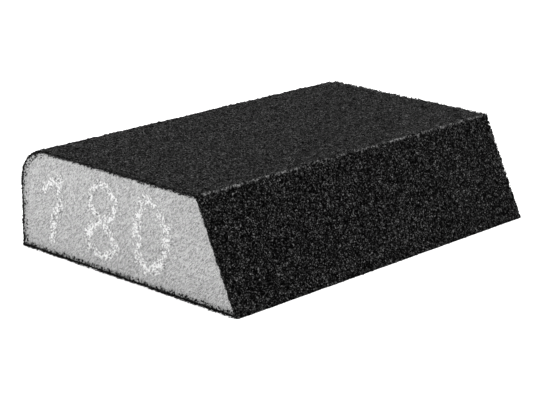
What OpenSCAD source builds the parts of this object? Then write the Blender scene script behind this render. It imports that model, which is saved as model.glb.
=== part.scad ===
// Combi foam sanding block. An elastic foam bar with one slanted long side and one rounded
// long edge, coated with abrasive grain on its four long faces, its two end faces bare.
// The grit grade is marked on one end.
//
// Frame: X along the block, Y across it with the slanted side at -Y, Z up.
// Origin: the middle of the base face. All sizes in millimetres.

/* [Block] */
// Length of the block, from bare end to bare end
block_l = 100; // [70:1:140]
// Width of the block at its base
block_w = 69; // [62:1:90]
// Height of the block
block_h = 24; // [22:1:30]
// How far the slanted side leans in at the top
bevel_set = 11.8; // [4:0.1:14]
// Radius of the rounded upper edge of the back
edge_r = 8; // [3:0.5:10]

/* [Abrasive coat] */
// Thickness of the resin film that holds the grain to the foam
make_t = 0.2; // [0.1:0.05:0.4]
// Thickness of the grain standing in and above the resin
grain_t = 0.3; // [0.2:0.05:0.8]

/* [Grade marking] */
// Height of the digits
digit_h = 17; // [14:0.5:17]
// Distance from the middle of one digit to the middle of the next
digit_pitch = 15.7; // [14:0.1:17]
// Distance of the middle digit from the middle of the block, towards the back
digit_shift = 6.9; // [4:0.1:8]
// Height of the middle of the digits above the base
digit_z = 12.1; // [11.5:0.1:12.5]
// Width of the strokes
stroke_w = 1.8; // [1.2:0.1:2.4]
// Depth that the marking ink soaks into the end of the foam
ink_t = 0.35; // [0.2:0.05:0.6]

/* [Hidden] */
$fn = 96;

// Both layers of the abrasive coat
coat_t = make_t + grain_t;
// Length of the slanted side, measured up the slope
slant_l = sqrt(block_h * block_h + bevel_set * bevel_set);
// Middle of the rounded edge
edge_y = block_w / 2 - edge_r;
edge_z = block_h - edge_r;
// Digits: the narrow loop at the top of the eight, the wide one below it, and the zero
loop_h = (digit_h + stroke_w) / 2;
eight_top_w = 0.52 * digit_h;
eight_low_w = 0.62 * digit_h;
zero_w = 0.66 * digit_h;
// The one: how far its stem leans, and how far its flag reaches out and down
stem_lean = 0.2 * digit_h;
flag_reach = 0.32 * digit_h;
flag_drop = 0.16 * digit_h;
// Where the flag meets the stem: how far to the side of the stem's edge, and how far down
crook_in = 0.022 * digit_h;
crook_drop = 0.116 * digit_h;

// Y of the slanted side at height z, moved inwards by depth along its normal
function slant_y(z, depth) = -block_w / 2 + bevel_set * z / block_h + depth * slant_l / block_h;

// Extrudes a section drawn in Y and Z along the whole block
module along_block() {
    translate([-block_l / 2, 0, 0])
        rotate([90, 0, 90])
            linear_extrude(block_l)
                children();
}

// Extrudes an outline seen from the marked end by the ink depth, inwards from that end
module into_end(y) {
    translate([-block_l / 2 + ink_t, y, digit_z])
        rotate([90, 0, -90])
            linear_extrude(ink_t)
                children();
}

// Section of the block with everything outside depth taken away
module section(depth) {
    polygon([
        [slant_y(depth, depth), depth],
        [block_w / 2 - depth, depth],
        [block_w / 2 - depth, edge_z],
        [edge_y, edge_z],
        [edge_y, block_h - depth],
        [slant_y(block_h - depth, depth), block_h - depth]
    ]);
    intersection() {
        translate([edge_y, edge_z])
            circle(edge_r - depth);
        translate([edge_y, edge_z])
            square(edge_r);
    }
}

// Layer of the flat top, between two depths below the top face
module top_layer(outer, inner) {
    along_block()
        polygon([
            [slant_y(block_h - inner, coat_t), block_h - inner],
            [edge_y, block_h - inner],
            [edge_y, block_h - outer],
            [slant_y(block_h - outer, coat_t), block_h - outer]
        ]);
}

// Layer of the flat base, between two depths above the base face
module bottom_layer(outer, inner) {
    along_block()
        polygon([
            [slant_y(outer, coat_t), outer],
            [block_w / 2 - coat_t, outer],
            [block_w / 2 - coat_t, inner],
            [slant_y(inner, coat_t), inner]
        ]);
}

// Layer of the slanted side, over the cut edges of the top and base layers
module bevel_layer(outer, inner) {
    along_block()
        polygon([
            [slant_y(0, outer), 0],
            [slant_y(0, inner), 0],
            [slant_y(block_h, inner), block_h],
            [slant_y(block_h, outer), block_h]
        ]);
}

// Layer of the back, from the base up and round the upper edge to the flat top
module back_layer(outer, inner) {
    along_block() {
        translate([block_w / 2 - inner, 0])
            square([inner - outer, edge_z]);
        difference() {
            intersection() {
                translate([edge_y, edge_z])
                    circle(edge_r - outer);
                translate([edge_y, edge_z])
                    square(edge_r);
            }
            translate([edge_y, edge_z])
                circle(edge_r - inner);
        }
    }
}

// Outline of a closed loop w wide and h high, with round ends
module loop_outline(w, h) {
    r = min(w, h) / 2;
    run_w = w - 2 * r;
    run_h = h - 2 * r;
    if (run_w > 0) square([run_w, h], center = true);
    if (run_h > 0) square([w, run_h], center = true);
    for (side = [-1, 1])
        translate([side * run_w / 2, side * run_h / 2])
            circle(r);
}

// A closed loop drawn with the stroke width
module loop(w, h) {
    difference() {
        loop_outline(w, h);
        loop_outline(w - 2 * stroke_w, h - 2 * stroke_w);
    }
}

// Outline of the one: a leaning stem and a flag at its head
module one_outline() {
    top_u = stem_lean / 2;
    low_u = -stem_lean / 2;
    half_w = stroke_w / 2;
    polygon([
        [low_u - half_w, -digit_h / 2],
        [low_u + half_w, -digit_h / 2],
        [top_u + half_w, digit_h / 2],
        [top_u - half_w, digit_h / 2],
        [top_u - flag_reach, digit_h / 2 - flag_drop + half_w],
        [top_u - flag_reach, digit_h / 2 - flag_drop - half_w],
        [top_u - half_w - crook_in, digit_h / 2 - crook_drop]
    ]);
}

// Outline of the eight: a narrow loop over a wide one, sharing the stroke between them
module eight_outline() {
    translate([0, (digit_h - loop_h) / 2])
        loop(eight_top_w, loop_h);
    translate([0, -(digit_h - loop_h) / 2])
        loop(eight_low_w, loop_h);
}

// Outline of the zero
module zero_outline() {
    loop(zero_w, digit_h);
}

// Ink of each digit, as it lies in the foam
module one_ink() {
    into_end(digit_shift + digit_pitch) one_outline();
}

module eight_ink() {
    into_end(digit_shift) eight_outline();
}

module zero_ink() {
    into_end(digit_shift - digit_pitch) zero_outline();
}

// Soft foam bar that the whole block is built on, with its marked end
module foam_core() {
    color("darkgray")
        difference() {
            along_block() section(coat_t);
            one_ink();
            eight_ink();
            zero_ink();
        }
}

// Resin films between the foam and the grain
module top_make_coat() {
    color("#2b2b2b") top_layer(grain_t, coat_t);
}

module bevel_make_coat() {
    color("#2b2b2b") bevel_layer(grain_t, coat_t);
}

module bottom_make_coat() {
    color("#2b2b2b") bottom_layer(grain_t, coat_t);
}

module back_make_coat() {
    color("#2b2b2b") back_layer(grain_t, coat_t);
}

// Layers of abrasive grain
module top_grain_layer() {
    color("#1c1c1c") top_layer(0, grain_t);
}

module bevel_grain_layer() {
    color("#151515") bevel_layer(0, grain_t);
}

module bottom_grain_layer() {
    color("#1c1c1c") bottom_layer(0, grain_t);
}

module back_grain_layer() {
    color("#1c1c1c") back_layer(0, grain_t);
}

// Grade marking, read from the marked end: one, eight, zero
module grade_digit_one() {
    color("white") one_ink();
}

module grade_digit_eight() {
    color("white") eight_ink();
}

module grade_digit_zero() {
    color("white") zero_ink();
}

foam_core();
top_make_coat();
bevel_make_coat();
bottom_make_coat();
back_make_coat();
top_grain_layer();
bevel_grain_layer();
bottom_grain_layer();
back_grain_layer();
grade_digit_one();
grade_digit_eight();
grade_digit_zero();
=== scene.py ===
"""Looks of a combi foam sanding block: coated long faces, bare foam ends and a grade marking.

Lengths are in millimetres and turn into metres where a mesh or a lamp is made. X runs along the
block, Y across it with the slanted side at -Y, and Z is up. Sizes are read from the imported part.
"""

from __future__ import annotations

import logging
import math
from dataclasses import dataclass
from enum import Enum
from typing import Any

import bpy
import numpy as np
from mathutils import Matrix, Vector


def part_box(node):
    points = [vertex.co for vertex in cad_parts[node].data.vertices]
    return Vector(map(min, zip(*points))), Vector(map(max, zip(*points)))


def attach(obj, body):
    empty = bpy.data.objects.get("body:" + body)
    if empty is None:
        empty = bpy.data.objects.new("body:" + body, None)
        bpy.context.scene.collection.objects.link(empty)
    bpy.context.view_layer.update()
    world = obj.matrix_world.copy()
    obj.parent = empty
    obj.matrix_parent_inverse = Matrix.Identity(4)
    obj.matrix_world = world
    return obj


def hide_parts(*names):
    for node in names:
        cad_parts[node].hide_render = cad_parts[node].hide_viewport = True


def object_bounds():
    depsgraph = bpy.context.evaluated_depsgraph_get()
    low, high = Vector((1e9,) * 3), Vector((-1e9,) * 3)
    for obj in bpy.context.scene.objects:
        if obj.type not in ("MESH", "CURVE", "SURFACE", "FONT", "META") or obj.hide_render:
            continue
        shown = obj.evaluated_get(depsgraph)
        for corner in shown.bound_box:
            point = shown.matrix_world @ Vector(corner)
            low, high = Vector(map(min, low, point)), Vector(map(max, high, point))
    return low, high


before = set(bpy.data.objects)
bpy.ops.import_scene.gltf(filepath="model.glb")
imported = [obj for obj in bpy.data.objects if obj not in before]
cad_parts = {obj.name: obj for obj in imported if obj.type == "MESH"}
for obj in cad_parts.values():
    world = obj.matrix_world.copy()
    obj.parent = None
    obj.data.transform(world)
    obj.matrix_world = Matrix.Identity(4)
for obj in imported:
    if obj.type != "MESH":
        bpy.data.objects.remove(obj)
CAD_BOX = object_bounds()

MM = 0.001
BODY = "root"
LOG = logging.getLogger("sanding_block")

# Numbers of the Mix node's sockets: the two colours that it takes, and the one that it gives
MIX_A = 6
MIX_B = 7
MIX_RESULT = 2

Array = np.ndarray
Socket = bpy.types.NodeSocket
Tree = bpy.types.NodeTree


# ---------------------------------------------------------------- colour and node helpers


def srgb(code: str) -> tuple[float, float, float, float]:
    """Turns an sRGB hex colour into the linear colour that shaders take.

    Args:
        code: the colour as six hex digits after a hash.

    Returns:
        Linear red, green, blue and an alpha of 1.
    """
    parts = [int(code[i : i + 2], 16) / 255 for i in (1, 3, 5)]
    linear = [c / 12.92 if c <= 0.04045 else ((c + 0.055) / 1.055) ** 2.4 for c in parts]
    return (*linear, 1.0)


def add_node(
    tree: Tree,
    kind: str,
    settings: dict[str | int, Any] | None = None,
    links: dict[str | int, Socket] | None = None,
) -> bpy.types.Node:
    """Adds a node with its settings and incoming links.

    Args:
        tree: the node tree of a material or of the world.
        kind: the node's type name, without the ShaderNode that all of them begin with.
        settings: node properties by name, and socket values by socket name or number.
        links: the output to link to each input, by socket name or number.

    Returns:
        The new node.
    """
    node = tree.nodes.new(f"ShaderNode{kind}")
    for key, value in (settings or {}).items():
        if isinstance(key, str) and hasattr(node, key):
            setattr(node, key, value)
        else:
            node.inputs[key].default_value = value
    for key, source in (links or {}).items():
        tree.links.new(source, node.inputs[key])
    return node


def per_metre(size_mm: float) -> float:
    """Scale of a texture node whose features are size_mm across."""
    return 1.0 / (size_mm * MM)


# ---------------------------------------------------------------- sizes and cross-section


@dataclass(frozen=True)
class BlockSizes:
    """The block's sizes in millimetres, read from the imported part."""

    length: float
    width: float
    height: float
    set_back: float
    edge_radius: float
    make: float
    grain: float

    @classmethod
    def from_frame(cls) -> BlockSizes:
        """Reads the sizes from the boxes and corners of the CAD nodes.

        Returns:
            The sizes.
        """
        low, high = CAD_BOX
        grain_low, grain_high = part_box("top_grain_layer")
        make_low, make_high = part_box("top_make_coat")
        back_low, back_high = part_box("back_grain_layer")
        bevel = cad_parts["bevel_grain_layer"].data.vertices
        crown = high.z - 0.01 * MM
        ridge = min(v.co.y for v in bevel if v.co.z > crown)
        return cls(
            length=(high.x - low.x) / MM,
            width=(high.y - low.y) / MM,
            height=(high.z - low.z) / MM,
            set_back=(ridge - low.y) / MM,
            edge_radius=(back_high.y - back_low.y) / MM,
            make=(make_high.z - make_low.z) / MM,
            grain=(grain_high.z - grain_low.z) / MM,
        )

    @property
    def coat(self) -> float:
        """Thickness of resin film and grain together."""
        return self.make + self.grain


class Side(Enum):
    """The four sides of the cross-section, numbered in the order that the outline passes them."""

    BEVEL = 0
    TOP = 1
    BACK = 2
    BASE = 3

    @property
    def word(self) -> str:
        """The side's name in the names of nodes and pieces."""
        return "bottom" if self is Side.BASE else self.name.lower()


class Profile:
    """The cross-section with its four corners rounded, followed from the foot of the slanted side.

    The outline goes up the slanted side, over the top, down the back and along the base. It has
    eight stretches: each side, and the round corner after it.
    """

    # Radius of the corner before each side. The one before the back is the part's rounded edge.
    CORNER_RADII = {Side.BEVEL: 0.1, Side.TOP: 0.35, Side.BACK: None, Side.BASE: 0.2}
    LEAST_RADIUS = 0.06
    STRETCHES = 8

    def __init__(self, sizes: BlockSizes) -> None:
        """Keeps the sharp corners and the direction of each side.

        Args:
            sizes: the block's sizes.
        """
        half = sizes.width / 2
        ridge = [-half + sizes.set_back, sizes.height]
        self.corners = np.array([[-half, 0.0], ridge, [half, sizes.height], [half, 0.0]])
        radii = [self.CORNER_RADII[side] for side in Side]
        self.radii = [sizes.edge_radius if r is None else r for r in radii]
        run = np.roll(self.corners, -1, axis=0) - self.corners
        self.along = run / np.linalg.norm(run, axis=1)[:, None]
        self.outward = np.stack([-self.along[:, 1], self.along[:, 0]], axis=1)
        self.starts = self._starts()

    def _corner(self, i: int, depth: float) -> tuple[Array, Array, Array, float, float]:
        """Lays out the round corner before side i, at a depth below the surface.

        Args:
            i: number of the side that the corner leads into.
            depth: distance inwards from the outer outline.

        Returns:
            Where the arc begins and ends, its centre, its radius and its angle.
        """
        j = (i - 1) % len(self.corners)
        a, b = self.along[j], self.along[i]
        p = self.corners[i] - self.outward[j] * depth
        q = self.corners[i] - self.outward[i] * depth
        share = np.linalg.solve(np.stack([a, -b], axis=1), q - p)[0]
        corner = p + share * a
        turn = math.acos(float(np.clip(a @ b, -1, 1)))
        radius = max(self.radii[i] - depth, self.LEAST_RADIUS)
        reach = radius * math.tan(turn / 2)
        begin = corner - a * reach
        return begin, corner + b * reach, begin - self.outward[j] * radius, radius, turn

    def _starts(self) -> Array:
        """Measures the outer outline.

        Returns:
            The distance along it at which each stretch begins, and its whole length.
        """
        lengths = []
        for side in range(len(self.corners)):
            leave = self._corner(side, 0)[1]
            enter, _, _, radius, turn = self._corner((side + 1) % len(self.corners), 0)
            lengths += [float(np.linalg.norm(enter - leave)), radius * turn]
        return np.concatenate([[0.0], np.cumsum(lengths)])

    @property
    def girth(self) -> float:
        """Length of the whole outer outline."""
        return float(self.starts[-1])

    def side_start(self, side: Side) -> float:
        """Distance along the outline at which the flat of a side begins."""
        return float(self.starts[2 * side.value])

    def side_end(self, side: Side) -> float:
        """Distance along the outline at which the flat of a side ends."""
        return float(self.starts[2 * side.value + 1])

    def corner_middle(self, side: Side) -> float:
        """Finds the middle of a corner.

        Args:
            side: the side that the corner leads into.

        Returns:
            Distance along the outline, which is below zero at the foot of the slanted side.
        """
        k = (2 * side.value - 1) % self.STRETCHES
        middle = float(self.starts[k] + self.starts[k + 1]) / 2
        return middle - self.girth if side is Side.BEVEL else middle

    def place(self, t: Array, depth: float) -> tuple[Array, Array]:
        """Finds points below the outline.

        Args:
            t: distances along the outer outline, which wrap round.
            depth: one distance inwards for all of them.

        Returns:
            The points and their outward normals, as rows of Y and Z.
        """
        t = np.mod(t, self.girth)
        stretch = np.clip(np.searchsorted(self.starts, t, side="right") - 1, 0, self.STRETCHES - 1)
        share = (t - self.starts[stretch]) / (self.starts[stretch + 1] - self.starts[stretch])
        points, normals = np.zeros((len(t), 2)), np.zeros((len(t), 2))
        for side in range(len(self.corners)):
            leave = self._corner(side, depth)[1]
            enter, _, centre, radius, turn = self._corner((side + 1) % len(self.corners), depth)
            flat = stretch == 2 * side
            points[flat] = leave + (enter - leave) * share[flat, None]
            normals[flat] = self.outward[side]
            bent = stretch == 2 * side + 1
            first = math.atan2(self.outward[side][1], self.outward[side][0])
            angle = first - turn * share[bent]
            normals[bent] = np.stack([np.cos(angle), np.sin(angle)], axis=1)
            points[bent] = centre + radius * normals[bent]
        return points, normals


# ---------------------------------------------------------------- random surfaces


class SoftNoise:
    """Smooth random values over a plane, on a lattice with a fixed seed."""

    SIZE = 256

    def __init__(self, seed: int, pitch: float) -> None:
        """Draws the lattice. pitch is the distance between its points."""
        self.values = np.random.default_rng(seed).uniform(-1, 1, (self.SIZE, self.SIZE))
        self.pitch = pitch

    def at(self, a: Array, b: Array) -> Array:
        """Looks values up, blended smoothly between the points of the lattice.

        Args:
            a: first coordinates of the places.
            b: second coordinates, in an array of the same shape.

        Returns:
            Values between -1 and 1.
        """
        a, b = a / self.pitch, b / self.pitch
        i, j = np.floor(a).astype(int), np.floor(b).astype(int)
        u, v = a - i, b - j
        u, v = u * u * (3 - 2 * u), v * v * (3 - 2 * v)
        i0, i1 = i % self.SIZE, (i + 1) % self.SIZE
        j0, j1 = j % self.SIZE, (j + 1) % self.SIZE
        low = self.values[i0, j0] * (1 - u) + self.values[i1, j0] * u
        high = self.values[i0, j1] * (1 - u) + self.values[i1, j1] * u
        return low * (1 - v) + high * v

    def along(self, a: Array) -> Array:
        """Values between -1 and 1 that change with one coordinate only."""
        return self.at(a, a * 0)


def between(noise: Array, mean: float, swing: float) -> Array:
    """Noise about a mean, cut to run from 0 to 1."""
    return np.clip(mean + swing * noise, 0, 1)


@dataclass(frozen=True)
class GrainField:
    """Sharp grains scattered over the unrolled coat, each a small cap cut by flat facets.

    Real grain of this grade is about 0.08 mm across. It is drawn about five times as coarse, the
    size of the clumps that it forms in the resin, because single grains are too fine to show.
    """

    length: float
    girth: float
    pitch: float = 0.42
    facets: int = 5
    seed: int = 180
    # In shares of the pitch: how far grains stray from a lattice, and their least and most radius
    stray: float = 0.38
    radii: tuple[float, float] = (0.3, 0.62)
    # Least height of a grain, and the two powers that shape the spread of heights up to 1
    least_top: float = 0.25
    spread: tuple[float, float] = (2.2, 1.6)
    # Share of the grains that stand out above the rest, and by how much, least and most
    tall_share: float = 0.07
    taller: tuple[float, float] = (0.3, 1.3)
    # How much the tops tilt, how steeply the facets fall, and how far below the top they start
    tilt: float = 0.34
    steepness: float = 2.1
    chamfer: float = 0.1
    # Size of the clumps in which the coat stands higher or lower, and their share of the relief
    clump: float = 0.95
    clump_share: float = 0.42
    # Rows of grains past each end of the block
    spare: int = 4

    def relief(self, x: Array, t: Array) -> tuple[Array, Array]:
        """Height and shade of the coat at each crossing of the lines x and t.

        Args:
            x: places along the block.
            t: distances along the outline.

        Returns:
            Height from 0 in the resin to 1 at the top of the coat, or more where a grain stands
            out, and a random shade for each grain from 0 to 1. Both have a row for each x.
        """
        rng = np.random.default_rng(self.seed)
        rows = round(self.length / self.pitch) + 2 * self.spare
        columns = round(self.girth / self.pitch)
        pitch_t = self.girth / columns
        shape = (rows, columns)
        stray_x, stray_t = (rng.uniform(-self.stray, self.stray, shape) for _ in range(2))
        top = rng.beta(*self.spread, shape) * (1 - self.least_top) + self.least_top
        top += (rng.uniform(0, 1, shape) < self.tall_share) * rng.uniform(*self.taller, shape)
        tilt_x, tilt_t = (rng.normal(0, self.tilt, shape) for _ in range(2))
        radius = rng.uniform(*self.radii, shape)
        turn = rng.uniform(0, 2 * math.pi, shape)
        shade = rng.uniform(0, 1, shape)
        grid_x, grid_t = np.meshgrid(x + self.length / 2, np.mod(t, self.girth), indexing="ij")
        cell_x = np.floor(grid_x / self.pitch).astype(int) + self.spare
        cell_t = np.floor(grid_t / pitch_t).astype(int)
        height, tone = np.zeros(grid_x.shape), np.zeros(grid_x.shape)
        for step_x in (-1, 0, 1):
            for step_t in (-1, 0, 1):
                row, column = cell_x + step_x, cell_t + step_t
                pick = (np.clip(row, 0, rows - 1), np.mod(column, columns))
                away_x = grid_x / self.pitch - (row - self.spare + 0.5 + stray_x[pick])
                away_t = grid_t / pitch_t - (column + 0.5 + stray_t[pick])
                cap = top[pick] + tilt_x[pick] * away_x + tilt_t[pick] * away_t
                for facet in range(self.facets):
                    angle = turn[pick] + 2 * math.pi * facet / self.facets
                    out = away_x * np.cos(angle) + away_t * np.sin(angle)
                    slope = top[pick] + self.steepness * (radius[pick] - out) - self.chamfer
                    cap = np.minimum(cap, slope)
                highest = cap > height
                height = np.where(highest, cap, height)
                tone = np.where(highest, shade[pick], tone)
        clumps = 0.5 + 0.5 * SoftNoise(self.seed + 1, self.clump).at(grid_x, grid_t)
        height = (1 - self.clump_share) * np.maximum(height, 0) + self.clump_share * clumps
        return height, tone


# ---------------------------------------------------------------- meshes


class MeshSketch:
    """Collects the points and faces of one closed mesh, in millimetres."""

    def __init__(self) -> None:
        """Starts with nothing."""
        self.points: list[Array] = []
        self.faces: list[Array] = []
        self.marks: dict[str, list[Array]] = {}
        self.count = 0

    def add_points(self, points: Array, **marks: Array) -> Array:
        """Adds points.

        Args:
            points: positions, with the three coordinates last.
            marks: values at the points, kept as attributes of the mesh.

        Returns:
            The numbers of the points, in the shape that the points came in.
        """
        shape = points.shape[:-1]
        flat = points.reshape(-1, 3)
        numbers = np.arange(self.count, self.count + len(flat)).reshape(shape)
        for name in set(marks) | set(self.marks):
            earlier = self.marks.setdefault(name, [np.zeros(self.count)])
            earlier.append(np.broadcast_to(marks.get(name, 0.0), shape).ravel())
        self.points.append(flat)
        self.count += len(flat)
        return numbers

    def add_faces(self, *corners: Array) -> None:
        """Adds faces whose corners are arrays of point numbers of one shape."""
        self.faces.append(np.stack([np.ravel(c) for c in corners], axis=1))

    def add_grid(self, numbers: Array) -> None:
        """Adds the quads of a grid of points, facing along its rows' cross its columns'."""
        self.add_faces(numbers[:-1, :-1], numbers[1:, :-1], numbers[1:, 1:], numbers[:-1, 1:])

    def add_band(self, first: Array, second: Array) -> None:
        """Adds quads between two lines of points of one length."""
        self.add_faces(first[:-1], second[:-1], second[1:], first[1:])

    def build(self, name: str, smooth: bool) -> bpy.types.Object:
        """Makes the Blender object.

        Args:
            name: the object's name.
            smooth: whether the shading runs smoothly across the faces.

        Returns:
            The object, linked to the scene.
        """
        points = np.concatenate(self.points) * MM
        mesh = bpy.data.meshes.new(name)
        mesh.vertices.add(len(points))
        mesh.vertices.foreach_set("co", points.astype(np.float32).ravel())
        loops = np.concatenate([f.ravel() for f in self.faces])
        sizes = np.concatenate([np.full(len(f), f.shape[1]) for f in self.faces])
        mesh.loops.add(len(loops))
        mesh.loops.foreach_set("vertex_index", loops.astype(np.int32))
        mesh.polygons.add(len(sizes))
        starts = np.concatenate([[0], np.cumsum(sizes)[:-1]])
        mesh.polygons.foreach_set("loop_start", starts.astype(np.int32))
        mesh.update(calc_edges=True)
        mesh.polygons.foreach_set("use_smooth", np.full(len(sizes), smooth))
        for mark, values in self.marks.items():
            attribute = mesh.attributes.new(mark, "FLOAT", "POINT")
            attribute.data.foreach_set("value", np.concatenate(values).astype(np.float32))
        mesh.validate()
        mesh.update()
        piece = bpy.data.objects.new(name, mesh)
        bpy.context.scene.collection.objects.link(piece)
        return piece


def closed_sheet(sketch: MeshSketch, outer: Array, inner: Array, kept: Array, **marks: Array) -> None:
    """Adds a sheet with a fine outer face, a coarser inner face and closed edges.

    Args:
        sketch: where the sheet is added.
        outer: grid of points of the outer face, along X and then along the outline.
        inner: grid of points of the inner face, of the same shape.
        kept: numbers of the lines along the outline that the inner face keeps, with both ends.
        marks: values at the outer points. The inner points have zero.
    """
    top = sketch.add_points(outer, **marks)
    first, last = sketch.add_points(inner[0]), sketch.add_points(inner[-1])
    middle = sketch.add_points(inner[1:-1][:, kept])
    sketch.add_grid(top)
    for low, high in ((top[0], first), (last, top[-1])):
        sketch.add_faces(low[:-1], low[1:], high[1:], high[:-1])
    near = np.concatenate([first[:1], middle[:, 0], last[:1]])
    far = np.concatenate([first[-1:], middle[:, -1], last[-1:]])
    sketch.add_band(top[:, 0], near)
    sketch.add_band(far, top[:, -1])
    sketch.add_grid(middle.T)
    for line, fine, turned in ((middle[0], first, False), (middle[-1], last, True)):
        for k, (a, b) in enumerate(zip(kept, kept[1:])):
            fan = [np.full(b - a, line[k]), fine[a:b], fine[a + 1 : b + 1]]
            tail = [line[k : k + 1], fine[b : b + 1], line[k + 1 : k + 2]]
            for corners in (fan, tail):
                sketch.add_faces(*(corners[::-1] if turned else corners))


def add_plates(sketch: MeshSketch, outer: Array, inner: Array, kept: Array, **marks: Array) -> None:
    """Adds closed plates over chosen cells of a grid.

    Args:
        sketch: where the plates are added.
        outer: grid of points of the outer face.
        inner: grid of points of the inner face, of the same shape.
        kept: which cells the plates cover, as a grid one smaller each way.
        marks: values at the outer points. The inner points have zero.
    """
    padded = np.pad(kept, 1)
    used = padded[1:, 1:] | padded[:-1, 1:] | padded[1:, :-1] | padded[:-1, :-1]
    top, low = np.full(used.shape, -1), np.full(used.shape, -1)
    top[used] = sketch.add_points(outer[used], **{name: value[used] for name, value in marks.items()})
    low[used] = sketch.add_points(inner[used])
    row, column = np.nonzero(kept)
    ring = [(row, column), (row + 1, column), (row + 1, column + 1), (row, column + 1)]
    sketch.add_faces(*(top[spot] for spot in ring))
    sketch.add_faces(*(low[spot] for spot in ring[::-1]))
    beside = [(0, -1), (1, 0), (0, 1), (-1, 0)]
    for k, (step_row, step_column) in enumerate(beside):
        bare = ~padded[row + 1 + step_row, column + 1 + step_column]
        first = tuple(index[bare] for index in ring[k])
        second = tuple(index[bare] for index in ring[(k + 1) % len(ring)])
        sketch.add_faces(top[second], top[first], low[first], low[second])


def without_corner_contacts(kept: Array) -> Array:
    """Fills cells until no two kept cells touch by a corner alone.

    Args:
        kept: which cells of a grid are kept.

    Returns:
        The kept cells with the fillings.
    """
    kept = kept.copy()
    while True:
        a, b, c, d = kept[:-1, :-1], kept[1:, :-1], kept[:-1, 1:], kept[1:, 1:]
        falling, rising = a & d & ~b & ~c, b & c & ~a & ~d
        if not (falling.any() or rising.any()):
            return kept
        b |= falling
        a |= rising


def smooth_line(points: list[tuple[float, float]], closed: bool, steps: int = 8) -> Array:
    """Draws a smooth line through points, curved between them by the rule of Catmull and Rom.

    Args:
        points: the points that the line passes.
        closed: whether it returns to its start.
        steps: points on the line for each point given.

    Returns:
        The points of the line, as rows.
    """
    known = np.array(points)
    ends = (known[-1:], known[:2]) if closed else (known[:1], known[-1:])
    known = np.concatenate([ends[0], known, ends[1]])
    share = (np.arange(steps) / steps)[:, None]
    pieces = []
    for a, b, c, d in zip(known[:-3], known[1:-2], known[2:-1], known[3:]):
        bend = (2 * a - 5 * b + 4 * c - d) * share**2 + (3 * b - 3 * c + d - a) * share**3
        pieces.append(b + 0.5 * ((c - a) * share + bend))
    return np.concatenate([*pieces, known[-2:-1]])


def evenly(low: float, high: float, pitch: float) -> Array:
    """Evenly spaced places from low to high, about pitch apart."""
    return np.linspace(low, high, max(2, round((high - low) / pitch) + 1))


# ---------------------------------------------------------------- finishes


def new_material(name: str) -> tuple[bpy.types.Material, Tree]:
    """Makes an empty node material.

    Args:
        name: the material's name.

    Returns:
        The material and its tree.
    """
    material = bpy.data.materials.new(name)
    material.use_nodes = True
    material.node_tree.nodes.clear()
    return material, material.node_tree


def finish_surface(tree: Tree, settings: dict[str, Any], links: dict[str, Socket]) -> None:
    """Adds the surface shader and the output.

    Args:
        tree: the material's tree.
        settings: constant values on the shader's own sockets.
        links: outputs linked to the shader's sockets.
    """
    shader = add_node(tree, "BsdfPrincipled", settings, links)
    add_node(tree, "OutputMaterial", links={"Surface": shader.outputs["BSDF"]})


@dataclass(frozen=True, kw_only=True)
class Finish:
    """A finish of the block: its name, its gloss, and the material made from its looks."""

    name: str
    roughness: float
    ior: float = 1.5
    specular: float = 0.1

    def looks(self, tree: Tree, place: Socket) -> dict[str, Socket]:
        """Adds the nodes of the finish's colour and relief.

        Args:
            tree: the material's tree.
            place: position on the block.

        Returns:
            What is linked to the surface shader, by the name of its socket.
        """
        raise NotImplementedError

    def make(self) -> bpy.types.Material:
        """Builds the material.

        Returns:
            The material.
        """
        material, tree = new_material(self.name)
        links = self.looks(tree, add_node(tree, "TexCoord").outputs["Object"])
        settings = {"Roughness": self.roughness, "IOR": self.ior, "Specular IOR Level": self.specular}
        finish_surface(tree, settings, links)
        return material


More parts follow.
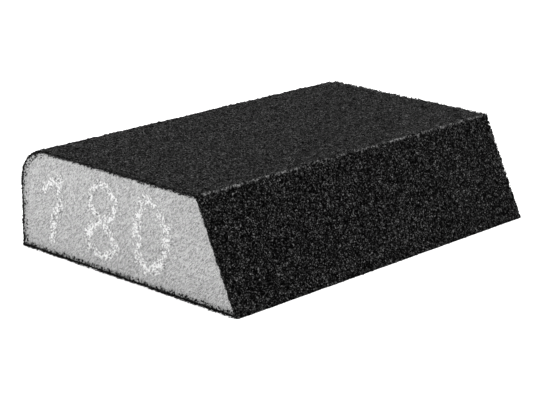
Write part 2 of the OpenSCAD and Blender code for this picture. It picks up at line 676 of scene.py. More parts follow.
@dataclass(frozen=True, kw_only=True)
class AbrasiveGrain(Finish):
    """Black silicon carbide grain set in phenolic resin.

    Blocky black crystals with broken faces. Each face gets a random shade: most are near black,
    standing for the black resin and grain and for the painted shade in the gaps between grains,
    and a few are pale grey, painted glints for faces that would catch a lamp.
    """

    # The shades run from painted glints down to the near-black of the resin and of the painted shade
    # between grains
    bright: str = "#868686"
    dark: str = "#010101"
    # Pale colour of the ridge: rubbed wear, and a painted highlight along its rounded edge
    worn_shine: str = "#a0a0a0"
    # How rare the painted glints are: 1 makes every shade as common, and more makes them rarer
    skew: float = 6.0
    # How much of a broken face's shade comes from the grain that it is on
    kinship: float = 0.25
    roughness: float = 0.6
    specular: float = 0.01
    # Size of the broken faces. Real ones are a few hundredths of a millimetre across.
    chip_mm: float = 0.23
    # Size of the patches where the coat lies thinner or thicker, and how much darker they get
    patch_mm: float = 6.0
    patch_depth: float = 0.12

    def looks(self, tree: Tree, place: Socket) -> dict[str, Socket]:
        """Adds a random shade for each broken face, which paints the glints and the shade between grains,
        uneven patches, and the pale ridge of rubbed wear and painted highlight.

        Args:
            tree: the material's tree.
            place: position on the block.

        Returns:
            The colour for the surface shader.
        """
        marks = (add_node(tree, "Attribute", {"attribute_name": mark}) for mark in ("tone", "wear"))
        tone, wear = (mark.outputs["Fac"] for mark in marks)
        chips = add_node(tree, "TexVoronoi", {"Scale": per_metre(self.chip_mm)}, {"Vector": place})
        chip = add_node(tree, "SeparateColor", links={0: chips.outputs["Color"]})
        shares = {"operation": "MULTIPLY_ADD", 1: self.kinship, 2: 1 - self.kinship}
        grain = add_node(tree, "Math", shares, {0: tone})
        factors = {0: grain.outputs[0], 1: chip.outputs[0]}
        shade = add_node(tree, "Math", {"operation": "MULTIPLY"}, factors)
        # Painted glints: a few chips pale, most near black
        rare = add_node(tree, "Math", {"operation": "POWER", 1: self.skew}, {0: shade.outputs[0]})
        # Pale flecks on the ridge: rubbed wear, and a painted highlight
        wear_and_shine_flecks = add_node(tree, "Math", {"operation": "MULTIPLY"}, {0: wear, 1: chip.outputs[1]})
        ends = {"data_type": "RGBA", MIX_A: srgb(self.dark), MIX_B: srgb(self.bright)}
        grains = add_node(tree, "Mix", ends, {"Factor": rare.outputs[0]})
        noise = {"Scale": per_metre(self.patch_mm), "Detail": 2.0}
        patches = add_node(tree, "TexNoise", noise, {"Vector": place})
        span = {"From Min": 0.3, "From Max": 0.7}
        span |= {"To Min": 1 - self.patch_depth, "To Max": 1 + self.patch_depth}
        thin = add_node(tree, "MapRange", span, {"Value": patches.outputs["Fac"]})
        scaled = {0: grains.outputs[MIX_RESULT], "Scale": thin.outputs["Result"]}
        uneven = add_node(tree, "VectorMath", {"operation": "SCALE"}, scaled)
        pale = {"data_type": "RGBA", MIX_B: srgb(self.worn_shine)}
        edge = add_node(tree, "Mix", pale, {"Factor": wear_and_shine_flecks.outputs[0], MIX_A: uneven.outputs[0]})
        return {"Base Color": edge.outputs[MIX_RESULT]}


@dataclass(frozen=True, kw_only=True)
class PhenolicFilm(Finish):
    """Black phenolic resin, spread wet and cured: a smooth, dull film that shows as a dark line."""

    colour: str
    pale: str
    roughness: float = 0.6
    ior: float = 1.6
    specular: float = 0.04
    # Size and height of the ripples that the resin cures in
    ripple_mm: float = 0.5
    ripple_height_mm: float = 0.05

    def looks(self, tree: Tree, place: Socket) -> dict[str, Socket]:
        """Adds ripples, and paler crests on them.

        Args:
            tree: the material's tree.
            place: position on the block.

        Returns:
            The colour and the relief for the surface shader.
        """
        noise = {"Scale": per_metre(self.ripple_mm), "Detail": 3.0}
        ripple = add_node(tree, "TexNoise", noise, {"Vector": place}).outputs["Fac"]
        ends = {"data_type": "RGBA", MIX_A: srgb(self.colour), MIX_B: srgb(self.pale)}
        colour = add_node(tree, "Mix", ends, {"Factor": ripple})
        depth = {"Strength": 0.5, "Distance": self.ripple_height_mm * MM}
        bump = add_node(tree, "Bump", depth, {"Height": ripple})
        return {"Base Color": colour.outputs[MIX_RESULT], "Normal": bump.outputs["Normal"]}


@dataclass(frozen=True, kw_only=True)
class CutFoam(Finish):
    """Light grey polyurethane foam, sawn across: a matt face of fine cut cells.

    The cells are drawn out along one diagonal, as foam rises in its mould, so the face has a
    faint slanting nap. Black dust from the coat greys the foam next to it, and painted shade
    darkens it towards the base and the slanted side and in its pits.
    """

    name: str = "cut_polyurethane_foam"
    pale: str = "#c4c4c4"
    dark: str = "#6a6a6a"
    # Painted shade in the pits of the foam, strongest beside the marking
    pit_shade: str = "#4c4c4c"
    # Black dust from the coat, and painted shade towards the base and the slanted side
    dust_and_shade_colour: str = "#141414"
    roughness: float = 0.9
    # Width of a cut cell. Real cells are 0.2 to 0.4 mm across, which these are on average: they
    # are narrower one way and longer the other.
    cell_mm: float = 0.13
    # How many times longer than wide the cells are, and the slope of their long way
    stretch: float = 4.0
    nap_degrees: float = -47.0
    # Size of the torn cell walls in cell widths, and the cells' share of the pattern beside them
    wall: float = 1.1
    cell_share: float = 0.6
    cell_depth_mm: float = 0.1

    def looks(self, tree: Tree, place: Socket) -> dict[str, Socket]:
        """Adds the cut cells, painted shade in the pits beside the marking and elsewhere, and the dust
        with painted shade towards the base and the slanted side.

        Args:
            tree: the material's tree.
            place: position on the block.

        Returns:
            The colour and the relief for the surface shader.
        """
        marks = (add_node(tree, "Attribute", {"attribute_name": mark}) for mark in ("grime", "pit"))
        grime, pit = (mark.outputs["Fac"] for mark in marks)
        drawn = {"Rotation": (math.radians(self.nap_degrees), 0, 0), "Scale": (1.0, self.stretch, 1.0)}
        nap = add_node(tree, "Mapping", {"vector_type": "TEXTURE"} | drawn, {"Vector": place})
        along = {"Vector": nap.outputs["Vector"]}
        cells = add_node(tree, "TexVoronoi", {"Scale": per_metre(self.cell_mm)}, along)
        cell = add_node(tree, "SeparateColor", links={0: cells.outputs["Color"]})
        noise = {"Scale": per_metre(self.wall * self.cell_mm), "Detail": 2.0, "Roughness": 0.6}
        walls = add_node(tree, "TexNoise", noise, along)
        both = {0: cell.outputs[0], 2: walls.outputs["Fac"]}
        blend = add_node(tree, "Math", {"operation": "MULTIPLY_ADD", 1: self.cell_share}, both)
        pattern = blend.outputs[0]
        spread = add_node(tree, "MapRange", {"From Min": 0.4, "From Max": 1.1}, {"Value": pattern})
        ends = {"data_type": "RGBA", MIX_A: srgb(self.dark), MIX_B: srgb(self.pale)}
        colour = add_node(tree, "Mix", ends, {"Factor": spread.outputs["Result"]}).outputs[MIX_RESULT]
        # Darkens the pits with painted shade, then adds the black dust and painted shade
        for amount, code in ((pit, self.pit_shade), (grime, self.dust_and_shade_colour)):
            over = {"data_type": "RGBA", MIX_B: srgb(code)}
            colour = add_node(tree, "Mix", over, {"Factor": amount, MIX_A: colour}).outputs[MIX_RESULT]
        depth = {"Strength": 0.8, "Distance": self.cell_depth_mm * MM}
        bump = add_node(tree, "Bump", depth, {"Height": pattern})
        return {"Base Color": colour, "Normal": bump.outputs["Normal"]}


@dataclass(frozen=True, kw_only=True)
class MarkingInk(Finish):
    """White pigment ink, stamped on rough foam: chalky, bright and patchy."""

    name: str = "stamped_white_ink"
    thick: str = "#d8d8d8"
    thin: str = "#a4a4a4"
    roughness: float = 0.85
    # Size and height of the clots that the ink dries into on the cell walls, and how much they show
    clot_mm: float = 0.4
    clot_height_mm: float = 0.06
    clot_share: float = 1.2

    def looks(self, tree: Tree, place: Socket) -> dict[str, Socket]:
        """Adds the clots, bright where the ink is thick and greyer where foam shows through.

        Args:
            tree: the material's tree.
            place: position on the block.

        Returns:
            The colour and the relief for the surface shader.
        """
        cover = add_node(tree, "Attribute", {"attribute_name": "cover"}).outputs["Fac"]
        noise = {"Scale": per_metre(self.clot_mm), "Detail": 3.0}
        clots = add_node(tree, "TexNoise", noise, {"Vector": place}).outputs["Fac"]
        sum_up = {"operation": "MULTIPLY_ADD", "use_clamp": True, 1: self.clot_share}
        uneven = add_node(tree, "Math", sum_up, {0: clots, 2: cover})
        ends = {"data_type": "RGBA", MIX_A: srgb(self.thin), MIX_B: srgb(self.thick)}
        colour = add_node(tree, "Mix", ends, {"Factor": uneven.outputs[0]})
        depth = {"Strength": 0.6, "Distance": self.clot_height_mm * MM}
        bump = add_node(tree, "Bump", depth, {"Height": clots})
        return {"Base Color": colour.outputs[MIX_RESULT], "Normal": bump.outputs["Normal"]}


def dress(piece: bpy.types.Object, finish: Finish, node: str) -> None:
    """Gives a piece its finish, hangs it under the block's body and hides the CAD node that it replaces.

    Args:
        piece: the piece.
        finish: its finish.
        node: the CAD node that it replaces.
    """
    piece.data.materials.append(finish.make())
    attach(piece, BODY)
    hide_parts(node)


# ---------------------------------------------------------------- the abrasive coat


@dataclass
class AbrasiveCoat:
    """The coat on one side of the block: a resin film on the foam and the grain in it."""

    side: Side
    start: float
    end: float
    profile: Profile
    sizes: BlockSizes
    finish: AbrasiveGrain
    film_finish: PhenolicFilm
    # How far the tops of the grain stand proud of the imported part's surface, and their relief
    proud: float
    relief: float = 0.28
    # How far the coat sinks in long waves, on average
    sway: float = 0.03
    # How far the near and the far end are frayed along the block
    rag: tuple[float, float] = (0.28, 0.28)
    # How far both are frayed in depth, and how far they are tucked in
    fray: float = 0.2
    tuck: float = 0.0
    # How much further the resin reaches into the foam at the cut ends, and how unevenly
    creep: float = 0.05
    tooth: float = 0.3
    # How far out the rims that the block stands on are pressed
    press: float = 0.25
    # Loose grains at the cut ends: how many, how large, how far over the foam they are strewn, and
    # how far they stand out from the near cut and from the far one
    crumbs_per_mm: float = 16.0
    lump: float = 0.17
    spill: float = 0.9
    jut: tuple[float, float] = (0.26, 0.26)
    # Quads of the grain's outer face, and how many times coarser its inner face is
    quads: int = 82_000
    inner_step: int = 8

    # How far in from the rims the fraying in depth, the fraying in length and the pressing reach
    FRAY_REACH = 0.5
    RAG_REACH = 0.9
    PRESS_REACH = 0.6
    # The frayed length at a cut end, in shares of rag: its middle, and how far it goes either way
    RAG_MIDDLE = 0.2
    RAG_SWING = 1.3
    # Seed, pitch and strength of the noises that the cut edges are torn by
    TATTERS = ((71, 1.3, 0.5), (72, 0.5, 0.5), (73, 0.27, 0.3))
    # How far apart the two ends lie in those noises, so that they are torn differently
    END_APART = 50.0
    # Loose grains: least size, spread of their corners outwards and sideways, how far they sink
    # into the cut, how deep they still jut out, and how they follow the tuck and the raised grain
    LEAST_LUMP = 0.07
    LUMP_CORNERS = (0.7, 1.3)
    LUMP_SKEW = 0.25
    SINK = 0.08
    JUT_DEPTH = 0.35
    FOLLOW_TUCK = 0.8
    FOLLOW_PROUD = 0.5
    CRUMB_SEED = 200
    # The pale flecks on the ridge, partly rubbed wear and partly a painted highlight on its rounded
    # edge: half their width, how many of those they stay dense over, how far they wander off the
    # middle of the corner, and their mean and swing along the ridge and by speck
    WORN_SHINE_HALF = 0.34
    WORN_SHINE_DENSE = 1.3
    WORN_SHINE_WANDER = 0.25
    WORN_SHINE_RUNS = (0.75, 1.0)
    WORN_SHINE_SPECKS = (0.1, 2.4)
    # The film: how far its torn edge reaches along the block, its steps along the block and along
    # the outline, how far it laps into the grain, and pitch and strength of its waves
    FILM_TORN = 0.6
    FILM_STEP = 10.0
    FILM_PITCH = 0.1
    FILM_LAP = 0.02
    FILM_WAVES = ((0, 1.1, 0.5), (9, 0.26, 0.8))

    def _raised(self, x: Array, t: Array, depth: Array) -> Array:
        """Finds points at given depths below the surface.

        Args:
            x: places along the block.
            t: distances along the outline.
            depth: depth at each crossing, with a row for each x.

        Returns:
            The points, with a row for each x.
        """
        ground, normal = self.profile.place(t, 0.0)
        across = ground[None] - normal[None] * depth[..., None]
        along = np.broadcast_to(x[:, None], depth.shape)
        return np.concatenate([along[..., None], across], axis=-1)

    def build_grain(self, field: GrainField) -> bpy.types.Object:
        """Builds the layer of grain.

        Args:
            field: the grains of the whole coat.

        Returns:
            The dressed piece.
        """
        half = self.sizes.length / 2
        pitch = math.sqrt(self.sizes.length * (self.end - self.start) / self.quads)
        x, t = evenly(-half, half, pitch), evenly(self.start, self.end, pitch)
        height, tone = field.relief(x, t)
        grid_x, grid_t = np.meshgrid(x, t, indexing="ij")
        sunk = self.sway * (1 - SoftNoise(seed=31, pitch=2.4).at(grid_x, grid_t))
        depth = self.relief * (1 - height) + sunk - self.proud
        from_end = half - np.abs(grid_x)
        torn = self.tuck + self.fray * self._tatters(grid_x, grid_t)
        depth = depth + np.exp(-from_end / self.FRAY_REACH) * torn
        depth = depth - self._pressed(grid_t, from_end)
        outer = self._raised(x, t, depth)
        rag = np.where(grid_x < 0, *self.rag) * np.clip(1 - from_end / self.RAG_REACH, 0, 1)
        bite = rag * (self.RAG_MIDDLE + self.RAG_SWING * self._tatters(-grid_x, grid_t))
        outer[..., 0] -= np.sign(grid_x) * bite
        outer[..., 2] = np.maximum(outer[..., 2], 0.0)
        inner = np.zeros_like(outer)
        inner[..., 0] = x[:, None]
        inner[..., 1:] = self.profile.place(t, self.sizes.grain)[0][None]
        kept = np.unique(np.append(np.arange(0, len(t), self.inner_step), len(t) - 1))
        sketch = MeshSketch()
        closed_sheet(sketch, outer, inner, kept, tone=tone, wear=self._wear_and_shine(grid_x, grid_t))
        self._add_crumbs(sketch)
        word = self.side.word
        piece = sketch.build(f"{word}_grain", smooth=False)
        dress(piece, self.finish, f"{word}_grain_layer")
        return piece

    def _pressed(self, t: Array, from_end: Array) -> Array:
        """Finds how far the rims that the block stands on are pressed out flat.

        Args:
            t: distances along the outline.
            from_end: distances from the nearer cut end.

        Returns:
            The distance outwards at each point.
        """
        rims = {
            Side.BEVEL: t - self.start,
            Side.TOP: np.full(t.shape, np.inf),
            Side.BACK: self.end - t,
            Side.BASE: np.minimum(np.minimum(t - self.start, self.end - t), from_end),
        }
        return self.press * np.exp(-rims[self.side] / self.PRESS_REACH)

    def _tatters(self, x: Array, t: Array) -> Array:
        """How much each end's cut edge is torn, from about -1 to 1, different at the two ends."""
        end = self.END_APART * np.sign(x)
        return sum(share * SoftNoise(seed, pitch).at(end, t) for seed, pitch, share in self.TATTERS)

    def _add_crumbs(self, sketch: MeshSketch) -> None:
        """Adds loose grains along both cut edges, each a small lump of eight flat faces.

        Args:
            sketch: the layer of grain.
        """
        rng = np.random.default_rng(self.CRUMB_SEED + self.side.value)
        count = round(self.crumbs_per_mm * (self.end - self.start))
        corners = np.array([[1, 0, 0], [0, 1, 0], [-1, 0, 0], [0, -1, 0], [0, 0, 1], [0, 0, -1]])
        follow = self.FOLLOW_TUCK * self.tuck - self.FOLLOW_PROUD * self.proud
        for way, jut in zip((-1, 1), self.jut):
            t = rng.uniform(self.start, self.end, count)
            depth = rng.uniform(0.0, 1.0, count) ** 2 * (self.sizes.coat + self.spill) + follow
            ground, normal = self.profile.place(t, 0.0)
            middle = np.zeros((count, 3))
            out = rng.uniform(-self.SINK, jut, count) * (depth < self.JUT_DEPTH)
            middle[:, 0] = way * (self.sizes.length / 2 + out)
            middle[:, 1:] = ground - normal * depth[:, None]
            size = self.LEAST_LUMP + self.lump * rng.uniform(0.0, 1.0, (count, 1, 1)) ** 2
            lumps = middle[:, None] + size * corners * rng.uniform(*self.LUMP_CORNERS, (count, 6, 1))
            lumps += size * rng.uniform(-self.LUMP_SKEW, self.LUMP_SKEW, (count, 6, 3))
            lumps[..., 2] = np.maximum(lumps[..., 2], 0.0)
            shade = np.broadcast_to(rng.uniform(0, 1, (count, 1)), (count, 6))
            numbers = sketch.add_points(lumps, tone=shade)
            for a in range(4):
                b = (a + 1) % 4
                sketch.add_faces(numbers[:, a], numbers[:, b], numbers[:, 4])
                sketch.add_faces(numbers[:, b], numbers[:, a], numbers[:, 5])

    def _wear_and_shine(self, x: Array, t: Array) -> Array:
        """Finds how pale the ridge above the slanted side is painted: partly rubbed wear, partly a
        painted highlight along its rounded edge.

        Args:
            x: places along the block.
            t: distances along the outline.

        Returns:
            The paleness at each point, from 0 to 1.
        """
        middle = self.profile.corner_middle(Side.TOP)
        middle = middle + self.WORN_SHINE_WANDER * SoftNoise(seed=51, pitch=1.7).along(x)
        near = np.clip(self.WORN_SHINE_DENSE - np.abs(t - middle) / self.WORN_SHINE_HALF, 0, 1)
        runs = between(SoftNoise(seed=52, pitch=1.8).along(x), *self.WORN_SHINE_RUNS)
        specks = between(SoftNoise(seed=53, pitch=0.3).at(x, t), *self.WORN_SHINE_SPECKS)
        return near * runs * specks

    def build_film(self) -> bpy.types.Object:
        """Builds the film of resin, with a ragged inner edge where the block was cut.

        Returns:
            The dressed piece.
        """
        half = self.sizes.length / 2
        inside = evenly(self.FILM_STEP - half, half - self.FILM_STEP, self.FILM_STEP)
        x = np.concatenate([[-half, self.FILM_TORN - half], inside, [half - self.FILM_TORN, half]])
        t = evenly(self.start, self.end, self.FILM_PITCH)
        low, inward = self.profile.place(t, self.sizes.coat)
        outer = np.zeros((len(x), len(t), 3))
        outer[..., 0] = x[:, None]
        outer[..., 1:] = self.profile.place(t, self.sizes.grain - self.FILM_LAP)[0][None]
        inner = outer.copy()
        inner[..., 1:] = low[None]
        for end, first in ((0, 5), (-1, 6)):
            waves = sum(k * SoftNoise(first + more, pitch).along(t) for more, pitch, k in self.FILM_WAVES)
            inner[end, :, 1:] -= inward * (self.creep + self.tooth * waves)[:, None]
        sketch = MeshSketch()
        closed_sheet(sketch, outer, inner, np.arange(len(t)))
        piece = sketch.build(f"{self.side.word}_resin_film", smooth=False)
        dress(piece, self.film_finish, f"{self.side.word}_make_coat")
        return piece


# ---------------------------------------------------------------- the foam bar


@dataclass
class FoamBar:
    """The bar of foam inside the coat, with its two cut ends."""

    profile: Profile
    sizes: BlockSizes
    finish: CutFoam
    # How far the cut ends lie inside the block's, and the distance between their points
    inset: float = 0.05
    pitch: float = 0.2
    # Depth of the pits, how strong a hollow of the cells has to be to make one, and the relief
    # that the cells have everywhere
    pit_depth: float = 0.12
    pit_from: float = 0.75
    cell_relief: float = 0.02
    # How unevenly the dust and painted shade reach in, and their strength between the specks and on them
    wander: float = 0.5
    haze: float = 0.6
    speck: float = 0.9
    # Mean and swing of the noise that the specks stand out of
    specks: tuple[float, float] = (-0.7, 2.4)

    def _outline_at(self, z: Array) -> tuple[Array, Array]:
        """Finds where the foam ends on either side.

        Args:
            z: heights above the base.

        Returns:
            Y of the slanted side and of the back, inside the coat.
        """
        sizes = self.sizes
        slope = math.hypot(sizes.height, sizes.set_back) / sizes.height
        low_y = -sizes.width / 2 + sizes.set_back * z / sizes.height + sizes.coat * slope
        edge_y = sizes.width / 2 - sizes.edge_radius
        edge_z = sizes.height - sizes.edge_radius
        radius = sizes.edge_radius - sizes.coat
        above = np.clip(z - edge_z, 0, radius)
        high_y = edge_y + np.sqrt(np.maximum(radius**2 - above**2, 0))
        return low_y, high_y

    def _end_grid(self) -> tuple[Array, Array]:
        """Lays out the points of an end face, row by row from the base up.

        Returns:
            Their Y and their Z.
        """
        sizes = self.sizes
        edge_z = sizes.height - sizes.edge_radius
        radius = sizes.edge_radius - sizes.coat
        straight = evenly(sizes.coat, edge_z, self.pitch)
        turns = evenly(0, math.pi / 2, self.pitch / radius)[1:]
        z = np.concatenate([straight, edge_z + radius * np.sin(turns)])
        low_y, high_y = self._outline_at(z)
        columns = round((high_y[0] - low_y[0]) / self.pitch)
        share = np.linspace(0, 1, columns + 1)
        y = low_y[:, None] + (high_y - low_y)[:, None] * share[None]
        return y, np.broadcast_to(z[:, None], y.shape)

    def _dust_and_shade(self, y: Array, z: Array) -> Array:
        """Finds how far black dust and painted shade darken the foam.

        Args:
            y: places across an end face.
            z: heights above the base.

        Returns:
            The darkening at each point, from 0 to 1.
        """
        low_y, high_y = self._outline_at(z)
        base = z - self.sizes.coat
        crown = self.sizes.height - self.sizes.coat - z
        wander = 0.6 * SoftNoise(seed=61, pitch=1.2).at(y, z)
        wander = wander + 0.4 * SoftNoise(seed=62, pitch=0.4).at(y, z)
        specks = between(SoftNoise(seed=63, pitch=0.28).at(y, z), *self.specks)
        # Distance from a side, how far in the darkening reaches from it, and how strong it is
        reach = [
            # black dust from the coat, and painted shade where the end meets the coat along the base
            (base, 1.1, 0.6),
            # painted shade: the end darker towards the base
            (base, 8.0, 0.18),
            # painted shade: the end darker towards the slanted side
            (y - low_y, 14.0, 0.08),
            # black dust along the other rims
            (crown, 0.35, 0.4),
            (y - low_y, 0.3, 0.3),
            (high_y - y, 1.2, 0.55),
        ]
        total = np.zeros_like(y)
        for distance, width, strength in reach:
            fading = np.exp(-distance / width * (1 - self.wander * wander))
            total = np.maximum(total, strength * fading * (self.haze + self.speck * specks))
        return np.clip(total, 0, 1)

    def build(self, digits: list[GradeDigit]) -> bpy.types.Object:
        """Builds the bar.

        Args:
            digits: the marking on the near end, beside which the foam is pitted and painted with shade.

        Returns:
            The dressed piece.
        """
        y, z = self._end_grid()
        grime = self._dust_and_shade(y, z)
        rim = np.ones(y.shape, dtype=bool)
        rim[1:-1, 1:-1] = False
        sketch = MeshSketch()
        loops = []
        for way, seed in ((-1, 11), (1, 12)):
            cells = SoftNoise(seed, 0.42).at(y - z, y + z) + 0.7 * SoftNoise(seed + 20, 0.26).at(y, z)
            # The pits are also painted with shade, by the same amount
            pit = np.clip(cells - self.pit_from, 0, 1)
            if way < 0:
                for digit in digits:
                    pit = np.maximum(pit, digit.pitting(y, z))
            depth = self.inset + self.cell_relief * cells + self.pit_depth * pit
            x = way * (self.sizes.length / 2 - np.where(rim, self.inset, depth))
            numbers = sketch.add_points(np.stack([x, y, z], axis=-1), grime=grime, pit=pit)
            sketch.add_grid(numbers if way < 0 else numbers.T)
            ring = [numbers[0, :-1], numbers[:-1, -1], numbers[-1, :0:-1], numbers[:0:-1, 0]]
            loops.append(np.concatenate([*ring, numbers[:1, 0]]))
        sketch.add_band(loops[1], loops[0])
        piece = sketch.build("foam_bar", smooth=True)
        dress(piece, self.finish, "foam_core")
        return piece


# ---------------------------------------------------------------- the grade marking


@dataclass
class GradeDigit:
    """One digit of the grit grade: clots of ink scattered along its strokes."""

    word: str
    finish: MarkingInk
    # Seed of the clots, width of the strokes, and the strokes as shares of the digit's box
    seed: int
    width: float
    shares: list[Array]
    pitch: float = 0.1
    thickness: float = 0.3
    # Height of the clots above the end of the foam
    lift: float = 0.16

    # How thick the ink is at the middle of a stroke, how fast it thins out to the sides, how many
    # half widths out it ends, and pitch and strength of its patches, its clots and its crumbs
    MIDDLE = 0.26
    THINNING = 0.6
    REACH = 1.25
    UNEVEN = ((1.0, 0.4), (0.45, 0.6), (0.22, 1.05))
    # Mean and swing of the share of foam that the ink hides, by its thickness
    COVER = (-0.8, 2.5)
    # Pits in the foam beside the strokes, painted dark as the shade of the raised ink: how many half
    # widths out they end, their pitch, and their mean and swing
    PIT_REACH = 1.6
    PIT_PITCH = 0.36
    PITS = (-1.0, 2.6)

    def __post_init__(self) -> None:
        """Places the strokes in the box of the digit's CAD node."""
        low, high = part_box(f"grade_digit_{self.word}")
        self.face_x = low.x / MM
        self.strokes = []
        for stroke in self.shares:
            y = (high.y + (low.y - high.y) * stroke[:, 0]) / MM
            z = (low.z + (high.z - low.z) * stroke[:, 1]) / MM
            self.strokes.append(np.stack([y, z], axis=1))

    def _distance(self, y: Array, z: Array) -> Array:
        """Measures how far points on the end of the foam are from the nearest stroke.

        Args:
            y: places across the end.
            z: heights above the base.

        Returns:
            The distances.
        """
        found = np.full(y.shape, np.inf)
        for stroke in self.strokes:
            for a, b in zip(stroke[:-1], stroke[1:]):
                run = b - a
                share = np.clip(((y - a[0]) * run[0] + (z - a[1]) * run[1]) / (run @ run), 0, 1)
                away = np.hypot(y - a[0] - share * run[0], z - a[1] - share * run[1])
                found = np.minimum(found, away)
        return found

    def pitting(self, y: Array, z: Array) -> Array:
        """Finds how deep the foam is pitted in and beside the strokes. The same amount paints shade in
        the pits.

        Args:
            y: places across the end.
            z: heights above the base.

        Returns:
            The pitting at each point, from 0 to 1.
        """
        near = np.clip(self.PIT_REACH - self._distance(y, z) / (0.5 * self.width), 0, 1)
        return near * between(SoftNoise(self.seed + 40, self.PIT_PITCH).at(y, z), *self.PITS)

    def build(self) -> bpy.types.Object:
        """Builds the ink.

        Returns:
            The dressed piece.
        """
        every = np.concatenate(self.strokes)
        low, high = every.min(axis=0) - self.width, every.max(axis=0) + self.width
        lines = [evenly(low[k], high[k], self.pitch) for k in (0, 1)]
        y, z = np.meshgrid(*lines, indexing="ij")
        across = self._distance(y, z) / (0.5 * self.width)
        rise = self.MIDDLE - self.THINNING * across**2
        for k, (pitch, strength) in enumerate(self.UNEVEN):
            rise = rise + strength * SoftNoise(self.seed + k, pitch).at(y, z)
        kept = (rise > 0) & (across < self.REACH)
        cells = kept[1:, 1:] | kept[:-1, 1:] | kept[1:, :-1] | kept[:-1, :-1]
        height = self.lift * np.clip(rise, -1, 1)
        outer = np.stack([self.face_x - height, y, z], axis=-1)
        inner = np.stack([np.full(y.shape, self.face_x + self.thickness), y, z], axis=-1)
        sketch = MeshSketch()
        cells = without_corner_contacts(cells)[:, ::-1]
        cover = self.COVER[0] + self.COVER[1] * np.clip(rise, 0, 1)
        add_plates(sketch, outer[:, ::-1], inner[:, ::-1], cells, cover=cover[:, ::-1])
        piece = sketch.build(f"grade_{self.word}_ink", smooth=True)
        dress(piece, self.finish, f"grade_digit_{self.word}")
        return piece


def grade_marking(finish: MarkingInk) -> list[GradeDigit]:
    """Draws the grit grade on the near end: one, eight, zero.

    Args:
        finish: the ink.

    Returns:
        The digits, placed but not built.
    """
    flag = [(0.12, 0.72), (0.44, 0.81), (0.87, 0.88)]
    stem = [(0.87, 0.88), (0.77, 0.73), (0.84, 0.57), (0.67, 0.41), (0.46, 0.27), (0.46, 0.15)]
    stem += [(0.38, 0.02)]
    upper = [(0.48, 0.48), (0.76, 0.56), (0.91, 0.75), (0.76, 0.92)]
    upper += [(0.46, 0.97), (0.2, 0.87), (0.15, 0.72), (0.25, 0.6)]
    lower = [(0.48, 0.46), (0.76, 0.34), (0.91, 0.22), (0.81, 0.09)]
    lower += [(0.52, 0.03), (0.2, 0.06), (0.06, 0.2), (0.14, 0.34)]
    nought = [(0.38, 0.96), (0.68, 0.82), (0.92, 0.6), (0.88, 0.32), (0.68, 0.1)]
    nought += [(0.4, 0.04), (0.16, 0.12), (0.11, 0.42), (0.12, 0.72), (0.26, 0.87)]
    one = [smooth_line(line, closed=False) for line in (flag, stem)]
    eight = [smooth_line(loop, closed=True) for loop in (upper, lower)]
    return [
        GradeDigit("one", finish, 209, 2.45, one),
        GradeDigit("eight", finish, 311, 2.35, eight),
        GradeDigit("zero", finish, 406, 2.7, [smooth_line(nought, closed=True)]),
    ]


# ---------------------------------------------------------------- the block


class SandingBlock:
    """The whole block, put together from its bar, its coats and its marking."""

    # The top gets a dimmer copy of the painted glints, with more of them: the same grain, painted for how
    # the top is seen and lit
    PAINTED_GLINTS_BY_SIDE = {Side.TOP: {"bright": "#6c6c6c", "skew": 4.0}}
    # What is particular to the coat of each side
    WAYS = {
        Side.BEVEL: {"proud": 0.2, "rag": (0.18, 0.32), "fray": 0.14, "press": 0.4, "spill": 0.3},
        Side.TOP: {"proud": 0.19, "sway": 0.08, "spill": 0.5},
        Side.BACK: {"proud": 0.05, "sway": 0.08, "rag": (0.1, 0.1), "fray": 0.34, "tuck": 0.2},
        Side.BASE: {"proud": 0.09, "lump": 0.22, "jut": (0.45, 0.45), "quads": 79_000},
    }
    WAYS[Side.BEVEL] |= {"jut": (0.26, 0.12)}
    WAYS[Side.BACK] |= {"creep": 0.18, "spill": 1.4, "jut": (0.05, 0.05)}

    def __init__(self) -> None:
        """Reads the sizes and lays out the coats."""
        self.sizes = BlockSizes.from_frame()
        self.profile = profile = Profile(self.sizes)
        self.field = GrainField(self.sizes.length, profile.girth)
        dull = PhenolicFilm(name="cured_phenolic_resin_dusted", colour="#141414", pale="#323232")
        fresh = PhenolicFilm(name="cured_phenolic_resin", colour="#040404", pale="#141414")
        films = (dull, dull, fresh, fresh)
        foot = profile.corner_middle(Side.BEVEL)
        seams = [foot, profile.side_start(Side.TOP), profile.side_end(Side.TOP)]
        seams += [profile.side_start(Side.BASE), profile.girth + foot]
        self.coats = []
        for side, start, end, film in zip(Side, seams, seams[1:], films):
            name = f"silicon_carbide_grain_{side.name.lower()}"
            grade = AbrasiveGrain(name=name, **self.PAINTED_GLINTS_BY_SIDE.get(side, {}))
            coat = AbrasiveCoat(side, start, end, profile, self.sizes, grade, film, **self.WAYS[side])
            self.coats.append(coat)

    def build(self) -> None:
        """Builds every piece and reports it."""
        digits = grade_marking(MarkingInk())
        pieces = [FoamBar(self.profile, self.sizes, CutFoam()).build(digits)]
        for coat in self.coats:
            pieces += [coat.build_film(), coat.build_grain(self.field)]
        pieces += [digit.build() for digit in digits]
        for piece in pieces:
            LOG.info("%s: %d faces", piece.name, len(piece.data.polygons))


# ---------------------------------------------------------------- studio and camera


def direction(azimuth: float, elevation: float) -> Array:
    """Finds a direction seen from the block.

    Args:
        azimuth: degrees from the front of the slanted side, towards +X.
        elevation: degrees above the floor.

    Returns:
        The unit vector.
    """
    a, e = math.radians(azimuth), math.radians(elevation)
    return np.array([math.sin(a) * math.cos(e), -math.cos(a) * math.cos(e), math.sin(e)])


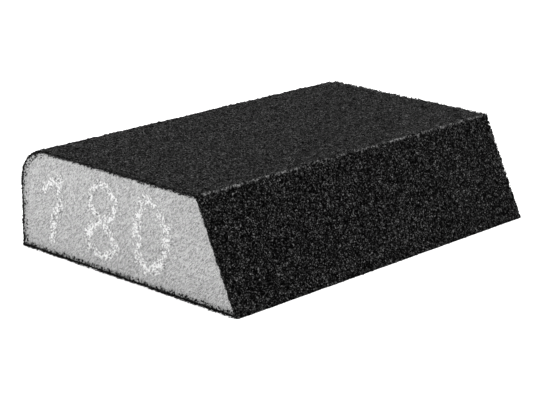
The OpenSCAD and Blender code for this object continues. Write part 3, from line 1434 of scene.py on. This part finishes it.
def facing(place: Array, back: Array, roll: float) -> Matrix:
    """Matrix of a camera or lamp that looks along minus back.

    Args:
        place: where it stands, in metres.
        back: unit vector from what it looks at.
        roll: turn about its own axis, in radians.

    Returns:
        The world matrix.
    """
    level = np.cross([0.0, 0.0, 1.0], back)
    level = level / np.linalg.norm(level)
    upright = np.cross(back, level)
    right = math.cos(roll) * level + math.sin(roll) * upright
    up = -math.sin(roll) * level + math.cos(roll) * upright
    matrix = Matrix.Identity(4)
    for column, axis in enumerate((right, up, back, place)):
        for row in range(3):
            matrix[row][column] = float(axis[row])
    return matrix


@dataclass(frozen=True)
class Softbox:
    """A soft lamp: a square panel that points at the block. Its lengths are in metres."""

    name: str
    azimuth: float
    elevation: float
    distance: float
    size: float
    power: float

    def build(self, aim: Array) -> None:
        """Hangs the lamp.

        Args:
            aim: the place that it points at.
        """
        back = direction(self.azimuth, self.elevation)
        light = bpy.data.lights.new(self.name, "AREA")
        light.shape = "SQUARE"
        light.size = self.size
        light.energy = self.power
        panel = bpy.data.objects.new(self.name, light)
        bpy.context.scene.collection.objects.link(panel)
        panel.matrix_world = facing(aim + back * self.distance, back, 0.0)


@dataclass(frozen=True)
class Studio:
    """Pale floor, white surroundings, soft lamps and the camera. Its lengths are in metres.

    The lens and the sensor are in millimetres, and the angles are in degrees.
    """

    floor_colour: str = "#f6f6f6"
    # The floor is a light table: a translucent sheet, lit faintly from below
    floor_glow: float = 0.3
    surround: float = 0.62
    floor_size: float = 4.0
    azimuth: float = -47.25
    elevation: float = 16.78
    roll: float = 0.77
    distance: float = 0.42162
    lens: float = 116.73
    sensor: float = 36.0
    aim_right: float = -0.001577
    aim_up: float = 0.00728
    clip: tuple[float, float] = (0.01, 50.0)
    # Height above the floor that the lamps point at
    lamp_aim: float = 0.01

    def build_camera(self) -> None:
        """Makes the camera. Its axis passes beside the origin by the two aims."""
        back = direction(self.azimuth, self.elevation)
        turned = facing(np.zeros(3), back, math.radians(self.roll))
        right, up = (np.array(turned.col[k][:3]) for k in (0, 1))
        place = right * self.aim_right + up * self.aim_up + back * self.distance
        data = bpy.data.cameras.new("camera")
        data.lens = self.lens
        data.sensor_width = self.sensor
        data.clip_start, data.clip_end = self.clip
        camera = bpy.data.objects.new("camera", data)
        bpy.context.scene.collection.objects.link(camera)
        camera.matrix_world = facing(place, back, math.radians(self.roll))
        bpy.context.scene.camera = camera

    def build_floor(self) -> None:
        """Lays the floor at the height of the block's base."""
        half = self.floor_size / 2
        mesh = bpy.data.meshes.new("floor")
        corners = [(-half, -half, 0), (half, -half, 0), (half, half, 0), (-half, half, 0)]
        mesh.from_pydata(corners, [], [(0, 1, 2, 3)])
        floor = bpy.data.objects.new("floor", mesh)
        bpy.context.scene.collection.objects.link(floor)
        material, tree = new_material("pale_paper_floor")
        settings = {
            "Base Color": srgb(self.floor_colour),
            "Roughness": 0.9,
            "Specular IOR Level": 0.1,
            "Emission Color": srgb("#ffffff"),
            "Emission Strength": self.floor_glow,
        }
        finish_surface(tree, settings, {})
        mesh.materials.append(material)

    def build_light(self) -> None:
        """Lights the block from all round and from two soft lamps."""
        world = bpy.data.worlds.new("surround")
        world.use_nodes = True
        tree = world.node_tree
        tree.nodes.clear()
        sky = add_node(tree, "Background", {"Color": (1, 1, 1, 1), "Strength": self.surround})
        add_node(tree, "OutputWorld", links={"Surface": sky.outputs[0]})
        bpy.context.scene.world = world
        aim = np.array([0.0, 0.0, self.lamp_aim])
        Softbox("overhead_softbox", 150.0, 78.0, distance=0.9, size=0.9, power=7.0).build(aim)
        Softbox("end_softbox", -130.0, 25.0, distance=0.45, size=0.3, power=0.9).build(aim)

    def build(self) -> None:
        """Sets up the whole studio."""
        bpy.context.scene.view_settings.view_transform = "Standard"
        self.build_camera()
        self.build_floor()
        self.build_light()


def main() -> None:
    """Builds the studio and the block."""
    logging.basicConfig(level=logging.INFO, format="%(name)s: %(message)s")
    Studio().build()
    SandingBlock().build()


if __name__ == "__main__":
    main()
